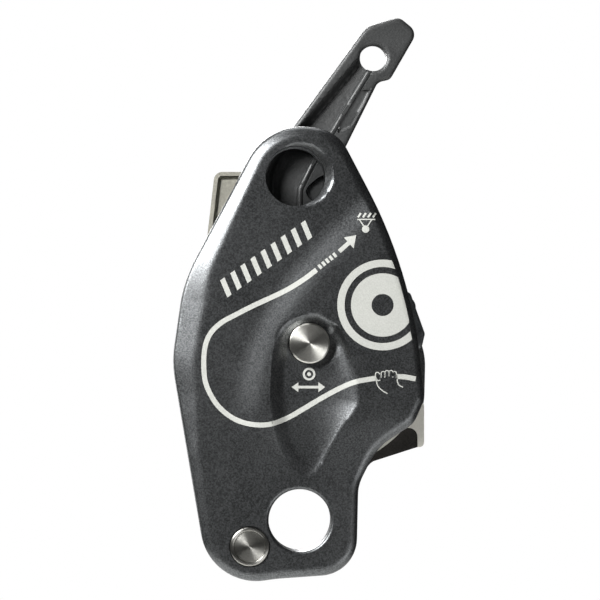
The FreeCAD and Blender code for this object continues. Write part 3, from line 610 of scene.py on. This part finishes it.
def buildFrontPlate():
    # the front sheet, a flat back sheet, and walls between their outlines and down each stepped bore
    s = frontPlate
    ringDepths = roundSteps(s["edgeRound"], (18, 36, 54, 72, 90)) + list(s["sideRings"])
    connector = mountRadius["connector_hole"]
    origin = mountSpot["connector_hole"][[0, 2]]
    holes = [
        {"loop": circle(origin, connector + s["holeEdge"], 96)},
        {"loop": circle(upperHole, mountRadius["upper_hole"], 120), "rings": s["upperRings"]},
        {"loop": circle(pivotSpot, s["pivotRecess"], 72)},
        {"loop": circle(axleSpot, s["buttonBore"], 96), "rings": s["buttonRings"]},
    ]
    scoopEdges = [smoothCurve(s[name], s["fieldSpacing"]) for name in ("scoopLeft", "scoopRight")]
    clear = s["buttonBore"] + s["creaseClear"]
    scoopEdges = [path[np.linalg.norm(path - axleSpot, axis=1) > clear] for path in scoopEdges]
    flat, triangles = sheetOver(plateOutline, ringDepths, holes, s["fieldSpacing"], scoopEdges)
    front = lifted(flat, plateSurfaceY(flat))
    parts = [(front, triangles)]
    rim = lifted(plateOutline, plateSurfaceY(plateOutline))
    backOutline = inset(plateOutline, s["backEdge"])
    parts.append(wallBetween([
        rim, lifted(plateOutline, plateBackY - s["backEdge"]), lifted(backOutline, plateBackY)]))
    backHoles = [
        {"loop": circle(origin, connector, 96)},
        {"loop": circle(upperHole, mountRadius["upper_hole"], 120)},
        {"loop": circle(pivotSpot, s["bushBore"], 72)},
        {"loop": circle(axleSpot, s["clipRecess"], 96)},
    ]
    backFlat, backTriangles = sheetOver(backOutline, [], backHoles, s["backSpacing"])
    parts.append((lifted(backFlat, plateBackY), backTriangles[:, ::-1]))
    # the connector hole's rim rolls over a quarter circle, then runs straight through
    roll = s["holeEdge"]
    quarter = [(connector + roll * (1 - math.sin(a)), plateFrontY + roll * (1 - math.cos(a)))
               for a in np.radians([0, 15, 30, 45, 60, 75, 90])]
    loopY = plateSurfaceY(holes[0]["loop"])
    rolled = [lifted(circle(origin, radius, 96), loopY + (y - plateFrontY)) for radius, y in quarter]
    parts.append(wallBetween(rolled + ringed(holes[0], [(connector, plateBackY)])))
    upperBore = [(mountRadius["upper_hole"], plateBackY)]
    pivotBore = [(s["pivotRecess"], s["pivotFloor"]), (s["bushBore"], s["pivotFloor"]),
                 (s["bushBore"], plateBackY)]
    buttonBore = [(s["buttonBore"], s["webFront"]), (s["stemBore"], s["webFront"]),
                  (s["stemBore"], s["webBack"]), (s["clipRecess"], s["webBack"]),
                  (s["clipRecess"], plateBackY)]
    for hole, bore in zip(holes[1:], (upperBore, pivotBore, buttonBore)):
        top = [lifted(hole["loop"], plateSurfaceY(hole["loop"]))]
        parts.append(wallBetween(top + ringed(hole, bore)))
    vertices, faces = joined(parts)
    piece = addPiece("frontPlateRelief", vertices, faces, "front_plate")
    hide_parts("front_plate")
    setMaterial(piece, "satinPlateCoating")
    print("front plate:", len(piece.data.polygons), "faces")


buildFrontPlate()


# lever: die-cast arm with a pocket, a rib and a scoop

lever = {
    "frontY": 18.6, "hubBackY": 24.6, "gripBackY": 27.0, "stepRadius": (29.7, 31.2),
    "edgeRound": 1.1, "spacing": 0.55, "backSpacing": 0.9, "creaseSpacing": 0.5,
    "hubHole": 7.0, "nearAxle": 20,  # loops nearer the axle than this belong to the hub
    # deep pocket: its left edge, then the rib that bounds it on the right
    "pocketLeft": [(20.3, 143.8), (9.6, 130.9), (0.0, 119.5), (-6.6, 111.2), (-9.4, 105.2), (-9.6, 99.0),
                   (-8.2, 89.5)],
    "ribLine": [(22.3, 137.4), (10.8, 118.4), (4.6, 108.4), (0.7, 100.4), (0.5, 96.6), (0.7, 89.5)],
    "ribHalf": 0.85, "ribCrown": 0.5, "ribSink": 0.15, "ribShoulder": 0.35, "ribTop": 137.4,
    "pocketDepth": 3.6, "pocketWall": 2.3, "pocketEnd": (89.5, 91.0), "floorTilt": 0.3,
    # shallow lens right of the rib, and the rounded well further down
    "lens": [(18.6, 130.2), (21.2, 130.9), (22.4, 131.3), (20.6, 127.2), (18.6, 123.4), (16.4, 119.6),
             (14.2, 118.2), (11.9, 117.4), (12.8, 120.4), (15.4, 125.2)],
    "lensDepth": 0.75, "lensWall": 0.55,
    "well": [(7.9, 104.6), (4.3, 102.5), (2.3, 100.0), (3.2, 97.5), (5.6, 96.4), (9.4, 98.6),
             (10.4, 102.4)],
    "wellDepth": 1.3, "wellWall": 0.5,
    "cordRim": 0.8, "cordSlope": 0.7, "cordClear": 1.0,
    "mark": ((13.3, 127.3), 1.9, 0.12), "markHalf": 0.3,  # a cast arc: its centre, radius and depth
    "rearPocket": [(17.4, 139.2), (21.0, 133.4), (9.8, 109.0), (8.6, 93.4), (-4.6, 93.4), (-5.6, 104.0)],
    "rearDepth": 1.8, "rearWall": 1.0, "rearClear": 0.4, "backRoundShare": 0.8,
}


def wellDepth(points, loop, wall):  # 0 on the loop, 1 further inside than the wall's width
    gap = gapTo(points, loop, closed=True)
    return smoothStep(0, wall, gap) * inside(points, loop)


def leverFrontY(points, edgeDistance):
    # The plain face, less the quarter-round edge or whichever hollow is deepest: the pocket, whose
    # wall is an S-shaped step from its left edge and a short one from the rib, the lens, the well,
    # the cord hole's rim, or the rib's crown, which falls away as the square of the distance.
    s = lever
    left = smoothCurve(s["pocketLeft"], 1.0)
    rib = np.array(s["ribLine"])
    fromLeft = gapTo(points, left)
    fromRib = gapTo(points, rib)
    within = inside(points, np.vstack([left, rib[::-1]]))
    pocket = np.minimum(smoothStep(0, s["pocketWall"], fromLeft),
                        smoothStep(s["ribHalf"], s["ribHalf"] + s["ribShoulder"], fromRib))
    pocket *= within * s["pocketDepth"] * smoothStep(*s["pocketEnd"], points[:, 1])
    pocket *= 1 - s["floorTilt"] * fromLeft / (fromLeft + fromRib)
    lens = wellDepth(points, smoothCurve(s["lens"], 0.6, closed=True), s["lensWall"]) * s["lensDepth"]
    well = wellDepth(points, smoothCurve(s["well"], 0.6, closed=True), s["wellWall"]) * s["wellDepth"]
    fromCord = np.linalg.norm(points - cordHole, axis=1) - mountRadius["lever_cord_hole"]
    rim = np.clip(s["cordRim"] - fromCord, 0, None) * s["cordSlope"]
    crown = s["ribSink"] + s["ribCrown"] * (fromRib / s["ribHalf"]) ** 2
    onRib = (fromRib <= s["ribHalf"] + 0.01) & (points[:, 1] < s["ribTop"])
    (x, z), radius, depth = s["mark"]
    ring = np.abs(np.linalg.norm(points - (x, z), axis=1) - radius)
    stamp = depth * np.clip(1 - ring / s["markHalf"], 0, 1) * (points[:, 1] > z)
    hollow = np.maximum.reduce([pocket + stamp, lens, well, rim, crown * onRib])
    return s["frontY"] + np.maximum(hollow, edgeRounding(edgeDistance, s["edgeRound"]))


def leverBackY(points, edgeDistance):
    # the hub's back, an S-shaped step out to the thicker grip, less the rear pocket and the round edge
    s = lever
    radius = np.linalg.norm(points - axleSpot, axis=1)
    back = s["hubBackY"] + (s["gripBackY"] - s["hubBackY"]) * smoothStep(*s["stepRadius"], radius)
    rear = smoothCurve(s["rearPocket"], 0.5, closed=True)
    back -= s["rearDepth"] * wellDepth(points, rear, s["rearWall"])
    return back - edgeRounding(edgeDistance, s["edgeRound"] * s["backRoundShare"])


def buildLever():
    # front and back sheets over one outline, each lifted to its own surface, and walls between them
    s = lever
    loops = flatFaceLoops("lever", s["frontY"])
    outline = resampled(loops[0], 0.7)
    around = [loop for loop in loops[1:] if np.linalg.norm(loop - axleSpot, axis=1).max() < s["nearAxle"]]
    slotLoop = resampled(max(around, key=lambda loop: abs(signedArea(loop))), 0.8)
    cord = np.array(cordHole)
    cordRadius = mountRadius["lever_cord_hole"]
    holes = [
        {"loop": circle(axleSpot, s["hubHole"], 72)}, {"loop": slotLoop, "round": False},
        {"loop": circle(cordHole, cordRadius, 64), "rings": (0.35, s["cordRim"])},
    ]

    def clearOfCord(path):
        return np.linalg.norm(path - cord, axis=1) > cordRadius + s["cordClear"]

    rounding = roundSteps(s["edgeRound"], (25, 45, 65, 90))
    rib = np.array(s["ribLine"])
    reaches = (0.45, s["ribHalf"], s["ribHalf"] + s["ribShoulder"])
    step = s["creaseSpacing"]
    creases = [resampledPath(offsetPath(rib, side * reach), step) for side in (-1, 1) for reach in reaches]
    creases += [smoothCurve(s["pocketLeft"], step), smoothCurve(s["lens"], step, closed=True),
                smoothCurve(s["well"], 0.4, closed=True)]
    creases = [path[inside(path, outline) & clearOfCord(path)] for path in creases]
    flat, triangles = sheetOver(outline, rounding, holes, s["spacing"], creases)
    distance = gapTo(flat, outline, closed=True)
    parts = [(lifted(flat, leverFrontY(flat, distance)), triangles)]
    rear = smoothCurve(s["rearPocket"], step, closed=True)
    rearRings = [inset(rear, s["rearWall"] * share) for share in (0, 0.25, 0.5, 0.75, 1)]
    land = inset(outline, s["edgeRound"] + s["rearClear"])
    rearRings = [path[clearOfCord(path) & inside(path, land)] for path in rearRings]
    backFlat, backTriangles = sheetOver(outline, rounding, holes, s["backSpacing"], rearRings)
    backDistance = gapTo(backFlat, outline, closed=True)
    parts.append((lifted(backFlat, leverBackY(backFlat, backDistance)), backTriangles[:, ::-1]))

    def wallOf(loop):
        gap = gapTo(loop, outline, closed=True)
        return wallBetween([lifted(loop, leverFrontY(loop, gap)), lifted(loop, leverBackY(loop, gap))])

    parts += [wallOf(outline)] + [wallOf(hole["loop"]) for hole in holes]
    vertices, faces = joined(parts)
    piece = addPiece("leverCasting", vertices, faces, "lever", 40)
    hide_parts("lever")
    setMaterial(piece, "diecastLeverPaint")
    print("lever:", len(piece.data.polygons), "faces")


buildLever()


# turned parts: release button and pivot pin

turnedParts = {
    "around": 96, "endFlat": 0.02,  # points round each loop, and the radius of a closed end
    "button": {"radius": 6.05, "front": -8.3, "back": -5.8, "stem": 2.5, "tip": 1.2, "chamfer": 0.45,
               "tipChamfer": 0.4, "dish": -0.1},  # a negative dish is a crown
    "pin": {"radius": 5.85, "front": plateFrontY - 0.5, "ledge": plateFrontY + 0.7, "ringWidth": 1.1,
            "faceSink": 0.25, "faceCone": 0.12, "shank": 4.0, "end": 12.4, "round": 0.45},
    "spring": {"pressed": 0.5},  # share of its height left when the button is in
}


def buildTurned(name, centre, profile, body, replaced, surface):
    # a profile of (radius, y) turned round an axis along Y; both ends close in a small flat
    count, tiny = turnedParts["around"], turnedParts["endFlat"]
    profile = [(tiny, profile[0][1])] + list(profile) + [(tiny, profile[-1][1])]
    loops = [lifted(circle(centre, radius, count), y) for radius, y in profile]
    caps = [(loop, np.arange(count).reshape(1, count)) for loop in (loops[0], loops[-1])]
    vertices, faces = joined([wallBetween(loops)] + caps)
    piece = addPiece(name, vertices, faces, body, 28)
    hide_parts(replaced)
    setMaterial(piece, surface)
    return piece


def quarterRound(radius, y, size, steps=6):  # from a flat face at y round a convex edge to the radius
    turn = np.linspace(0, np.pi / 2, steps)
    return [(radius - size + size * math.sin(a), y + size - size * math.cos(a)) for a in turn]


def buildTurnedParts():  # both profiles run from the middle of the face round to the middle of the back
    b = turnedParts["button"]
    cut = b["chamfer"]
    face = [(r, b["front"] + b["dish"] * (1 - (r / (b["radius"] - cut)) ** 2)) for r in (1.5, 3.0, 4.4)]
    tipCut = b["tipChamfer"]
    profile = face + [
        (b["radius"] - cut, b["front"]), (b["radius"], b["front"] + cut), (b["radius"], b["back"]),
        (b["stem"], b["back"]), (b["stem"], b["tip"] - tipCut), (b["stem"] - tipCut, b["tip"])]
    buildTurned("turnedButton", axleSpot, profile, "button", "release_button", "turnedButtonSteel")
    p = turnedParts["pin"]
    inner = p["radius"] - p["ringWidth"]
    sunk = p["front"] + p["faceSink"]
    profile = [(1.5, sunk - p["faceCone"]), (inner - 0.2, sunk), (inner, sunk + 0.15),
               (inner, p["front"] + 0.05), (inner + 0.1, p["front"])]
    profile += quarterRound(p["radius"], p["front"], p["round"])
    profile += [(p["radius"], p["ledge"]), (p["shank"], p["ledge"]), (p["shank"], p["end"] - 0.5),
                (p["shank"] - 0.5, p["end"])]
    buildTurned("turnedPivotPin", pivotSpot, profile, "frame", "plate_pivot_pin", "turnedPivotSteel")


def buildButtonSpring():
    # the wave of wire under the button's head
    mesh = nodes["button_spring"].data
    vertices = np.zeros(len(mesh.vertices) * 3)
    mesh.vertices.foreach_get("co", vertices)
    faces = [list(face.vertices) for face in mesh.polygons]
    piece = addPiece("buttonWaveSpring", vertices.reshape(-1, 3) / mm, faces, "button", 40)
    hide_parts("button_spring")
    setMaterial(piece, "drawnSpringWire")
    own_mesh(piece)


buildTurnedParts()
buildButtonSpring()
print("turned parts ready")


# printed marks on the front plate

prints = {
    "lineWidth": 1.5, "proud": 0.09, "sunk": 0.08, "spacing": 0.6, "edgeSpacing": 0.45,
    # the rope's way round the cam, then dashes and an arrow towards the anchor
    "rope": [(5.0, 75.2), (1.0, 72.2), (-4.8, 68.7), (-13.4, 64.7), (-19.1, 61.8), (-23.6, 59.3),
             (-26.8, 56.1), (-28.4, 52.1), (-28.8, 46.9), (-28.3, 41.7), (-26.7, 37.7), (-24.3, 34.2),
             (-20.8, 31.2), (-16.8, 29.4), (-12.2, 28.7), (-8.2, 29.1), (-3.6, 30.8), (1.0, 33.4),
             (6.7, 36.8), (12.5, 39.9), (17.0, 41.7), (22.6, 42.7)],
    "ropeEnd": [(29.0, 43.2), (31.5, 43.1), (34.7, 42.5)],
    "dashes": [(5.7, 75.9), (11.2, 80.2)], "dashCount": 5, "dashShare": 0.62,
    "arrowShaft": [(11.8, 80.7), (14.7, 83.3)], "shaftShare": 0.85,
    "arrowHead": [(16.9, 85.6), (13.2, 84.9), (16.1, 81.6)],
    "hatches": [(17.4, 90.9), (18.9, 90.9), (20.4, 90.9), (21.9, 90.9)], "hatchLean": (0.9, 1.3),
    "hatchWidth": 0.6,
    "beam": [(17.2, 90.3), (22.6, 90.3)],
    "hanger": [(17.9, 90.2), (19.7, 87.4), (21.5, 90.2)], "hangerDot": (19.7, 87.4, 1.1), "thin": 0.32,
    # a pulley wheel: ring, disc and hub hole, cut off by the plate's edge
    "wheelSpot": (24.8, 64.65), "wheelRing": (13.6, 11.4), "wheelDisc": (9.5, 3.3), "edgeGap": 1.7,
    # a hand round the rope
    "fingers": [(24.9, 44.2), (26.1, 44.5), (27.3, 44.5), (28.4, 44.2)], "fingerSize": (0.55, 1.3),
    "fingerShare": 0.9,
    "thumb": [(24.1, 42.2), (23.4, 42.0), (22.7, 42.9), (22.7, 44.2), (23.4, 44.5), (24.0, 43.9)],
    "wrist": [[(22.8, 42.5), (23.3, 40.5), (24.6, 39.1), (26.2, 38.1)],
              [(29.0, 43.6), (29.3, 41.4), (29.8, 40.6), (30.9, 40.0)]],
    # press and slide: a ring pushed in, and a double-headed arrow
    "pressRing": (2.8, 43.9, 1.9, 1.25), "pressDot": (2.8, 43.9, 0.6),
    "slideArrow": [(-2.4, 40.0), (7.6, 40.0)], "slideHead": (2.0, 1.5),
    "slideWidth": 0.8, "slideOverlap": 0.1,
    # slanted bars in place of lettering
    "bars": ((-22.6, 66.3), (4.6, 85.6)), "barCount": 9, "barSize": (1.6, 7.2),
    "barLean": 1.2, "barShare": 0.75,
}


def ribbonOutline(path, width):  # the closed outline of a strip along a path, square at its ends
    return np.vstack([offsetPath(path, width / 2), offsetPath(path, -width / 2)[::-1]])


def withoutRight(loop):  # the part of an outline that keeps its distance from the plate's right edge
    gap, where, _ = toPath(loop, plateOutline, closed=True)
    safe = inset(plateOutline, prints["edgeGap"])
    keep = inside(loop, plateOutline) & (gap >= prints["edgeGap"] - 0.02)
    if keep.all():
        return loop
    first = np.flatnonzero(~keep)[0]
    loop, keep = np.roll(loop, -first, 0), np.roll(keep, -first)
    kept = loop[keep]
    _, starts, _ = toPath(kept[[-1, 0]], safe, closed=True)
    closed = np.vstack([safe, safe[:1]])
    back = np.linspace(starts[0], starts[1], 24)[1:-1]
    return np.vstack([kept, pointsAt(closed, runAlong(closed), back)])


def subdivided(loop, spacing):  # more points along a closed loop's runs, with its corners kept
    pieces = []
    for a, b in zip(loop, np.roll(loop, -1, 0)):
        count = max(int(np.ceil(np.linalg.norm(b - a) / spacing)), 1)
        pieces.append(a + (b - a) * (np.arange(count) / count)[:, None])
    return np.vstack(pieces)


def printPatch(outline, holes=()):
    # a thin closed film: its top follows the plate's surface just above it, its underside is sunk in
    s = prints
    outline = np.array(outline, float)
    if signedArea(outline) < 0:
        outline = outline[::-1]
    outline = subdivided(outline, s["edgeSpacing"])
    flat, triangles = sheetOver(outline, [], [{"loop": hole} for hole in holes], s["spacing"])
    surface = plateSurfaceY(flat)
    parts = [(lifted(flat, surface - s["proud"]), triangles),
             (lifted(flat, surface + s["sunk"]), triangles[:, ::-1])]
    for loop in [outline] + list(holes):
        level = plateSurfaceY(loop)
        parts.append(wallBetween([lifted(loop, level - s["proud"]), lifted(loop, level + s["sunk"])]))
    return parts


def strip(path, width):  # a printed strip: its edges run half the width either side of the path
    return printPatch(ribbonOutline(np.array(path), width))


def addPrint(name, patches):  # the patches of one mark as one piece
    vertices, faces = joined([part for patch in patches for part in patch])
    piece = addPiece(name, vertices, faces, "front_plate")
    setMaterial(piece, "screenPrintedInk")


def ropePathPrint():  # the rope's way in two strips, then evenly spaced dashes and an arrow
    s = prints
    width = s["lineWidth"]
    marks = [strip(smoothCurve(s[name], 0.5), width) for name in ("rope", "ropeEnd")]
    start, end = np.array(s["dashes"])
    for number in range(s["dashCount"]):
        low, high = number / s["dashCount"], (number + s["dashShare"]) / s["dashCount"]
        marks.append(strip([start + (end - start) * low, start + (end - start) * high], width))
    marks.append(strip(s["arrowShaft"], width * s["shaftShare"]))
    addPrint("ropePathPrint", marks + [printPatch(s["arrowHead"])])


def anchorPrint():  # slanted hatches over a beam, and a hanger with a dot at its foot
    s = prints
    marks = [strip([spot, np.add(spot, s["hatchLean"])], s["hatchWidth"]) for spot in s["hatches"]]
    marks += [strip(path, s["thin"]) for path in (s["beam"], s["hanger"][:2], s["hanger"][1:])]
    x, z, radius = s["hangerDot"]
    addPrint("anchorPrint", marks + [printPatch(circle((x, z), radius, 24))])


def wheelArc(radius):  # the points of a circle that keep their distance from the plate's edge
    loop = circle(prints["wheelSpot"], radius, 240)
    keep = inside(loop, plateOutline) & (gapTo(loop, plateOutline, closed=True) > prints["edgeGap"])
    first = np.flatnonzero(~keep)[0]
    return np.roll(loop, -first, 0)[np.roll(keep, -first)]


def wheelPrint():  # an open ring between two arcs, and a disc with a hub hole
    s = prints
    outer, inner = s["wheelRing"]
    disc, hub = s["wheelDisc"]
    centre = s["wheelSpot"]
    addPrint("wheelPrint", [
        printPatch(np.vstack([wheelArc(outer), wheelArc(inner)[::-1]])),
        printPatch(withoutRight(circle(centre, disc, 160)), [circle(centre, hub, 48)])])


def handPrint():  # wrist and thumb lines, and a half-round arch with straight legs for each finger
    s = prints
    marks = [strip(smoothCurve(path, 0.3), s["thin"]) for path in s["wrist"] + [s["thumb"]]]
    across, tall = s["fingerSize"]
    turn = np.linspace(np.pi, 0, 9)
    for spot in s["fingers"]:
        arch = np.array([spot]) + across * np.stack([np.cos(turn), np.sin(turn)], 1)
        arch = np.vstack([arch[:1] - (0, tall), arch, arch[-1:] - (0, tall)])
        marks.append(strip(arch, s["thin"] * s["fingerShare"]))
    addPrint("handPrint", marks)


def pressAndSlidePrint():  # a ring, a dot and an arrow whose shaft ends just inside its heads
    s = prints
    x, z, outer, inner = s["pressRing"]
    marks = [printPatch(circle((x, z), outer, 48), [circle((x, z), inner, 36)])]
    x, z, radius = s["pressDot"]
    marks.append(printPatch(circle((x, z), radius, 20)))
    start, end = np.array(s["slideArrow"])
    length, half = s["slideHead"]
    shorter = (length - s["slideOverlap"], 0)
    marks.append(strip([start + shorter, end - shorter], s["slideWidth"]))
    for tip, way in ((start, 1), (end, -1)):
        marks.append(printPatch([tip, tip + (way * length, half), tip + (way * length, -half)]))
    addPrint("pressAndSlidePrint", marks)


def barsPrint():  # evenly spaced bars along a line, each leaning forwards by the same run
    s = prints
    low, high = np.array(s["bars"])
    way = (high - low) / np.linalg.norm(high - low)
    wide, tall = s["barSize"]
    rise = np.array([-way[1], way[0]]) * tall * s["barShare"]
    marks = []
    for number in range(s["barCount"]):
        foot = low + (high - low) * (number + 0.5) / s["barCount"]
        marks.append(printPatch([
            foot - way * wide / 2, foot + way * wide / 2,
            foot + way * (wide / 2 + s["barLean"]) + rise, foot - way * (wide / 2 - s["barLean"]) + rise]))
    addPrint("barsPrint", marks)


for buildMark in (ropePathPrint, anchorPrint, wheelPrint, handPrint, pressAndSlidePrint, barsPrint):
    buildMark()
print("prints ready")


# camera, light and floor

studio = {
    "cameraFrom": (-17.9, -1106.0, 60.2), "aimAt": (0.06, -6.5, 66.15), "lens": 220.0, "sensor": 36.0,
    "floorDrop": 170.0, "floorRadius": 320.0, "floorColour": "#f2f2f0", "skyColour": "#ffffff",
    "skyStrength": 0.065,
    # soft boxes: where each stands from the object's middle, its width and height, and its power
    "lights": [
        ("keyLeft", (-306, -262, 215), (250, 250), 5.9),
        ("topBox", (-60, 60, 650), (500, 260), 2.0),
        ("fillLow", (220, -420, -300), (300, 300), 0.9),
        ("backHigh", (-180, 620, 300), (420, 420), 9.0),
        ("backSide", (-620, 420, 60), (300, 500), 3.0),
    ],
}


def addStudio():  # each light faces the object's middle; the floor is a plain disc below it
    s = studio
    scene = bpy.context.scene
    camera = bpy.data.objects.new("camera", bpy.data.cameras.new("camera"))
    scene.collection.objects.link(camera)
    camera.location = Vector(s["cameraFrom"]) * mm
    aim = Vector(s["aimAt"]) - Vector(s["cameraFrom"])
    camera.rotation_euler = aim.to_track_quat("-Z", "Y").to_euler()
    camera.data.lens = s["lens"]
    camera.data.sensor_width = s["sensor"]
    camera.data.clip_start = 0.01
    scene.camera = camera
    middle = (Vector(cadBounds[0]) + Vector(cadBounds[1])) / 2
    for name, place, size, power in s["lights"]:
        lamp = bpy.data.lights.new(name, "AREA")
        lamp.shape = "RECTANGLE"
        lamp.size, lamp.size_y = size[0] * mm, size[1] * mm
        lamp.energy = power
        light = bpy.data.objects.new(name, lamp)
        light.location = middle + Vector(place) * mm
        light.rotation_euler = (-Vector(place)).to_track_quat("-Z", "Y").to_euler()
        scene.collection.objects.link(light)
    low = cadBounds[0][2] - s["floorDrop"] * mm
    rim = np.column_stack([circle((0, 0), s["floorRadius"], 96) * mm, np.full(96, low)])
    mesh = bpy.data.meshes.new("floor")
    mesh.from_pydata(rim.tolist(), [], [list(range(96))])
    floor = bpy.data.objects.new("floor", mesh)
    scene.collection.objects.link(floor)
    material = bpy.data.materials.new("matPaperFloor")
    material.use_nodes = True
    surface = material.node_tree.nodes["Principled BSDF"]
    surface.inputs["Base Color"].default_value = linearColour(s["floorColour"])
    surface.inputs["Roughness"].default_value = 0.9
    floor.data.materials.append(material)
    world = bpy.data.worlds.new("whiteStudio")
    world.use_nodes = True
    tree = world.node_tree
    tree.nodes["Background"].inputs["Color"].default_value = linearColour(s["skyColour"])
    seen = addNode(tree, "ShaderNodeLightPath").outputs["Is Camera Ray"]  # white paper behind, dimmer light
    strength = addNode(tree, "ShaderNodeMapRange", {
        "Value": seen, "To Min": s["skyStrength"], "To Max": 1.0})
    tree.links.new(strength.outputs["Result"], tree.nodes["Background"].inputs["Strength"])
    scene.world = world
    scene.view_settings.view_transform = "Standard"


addStudio()
print("studio ready")
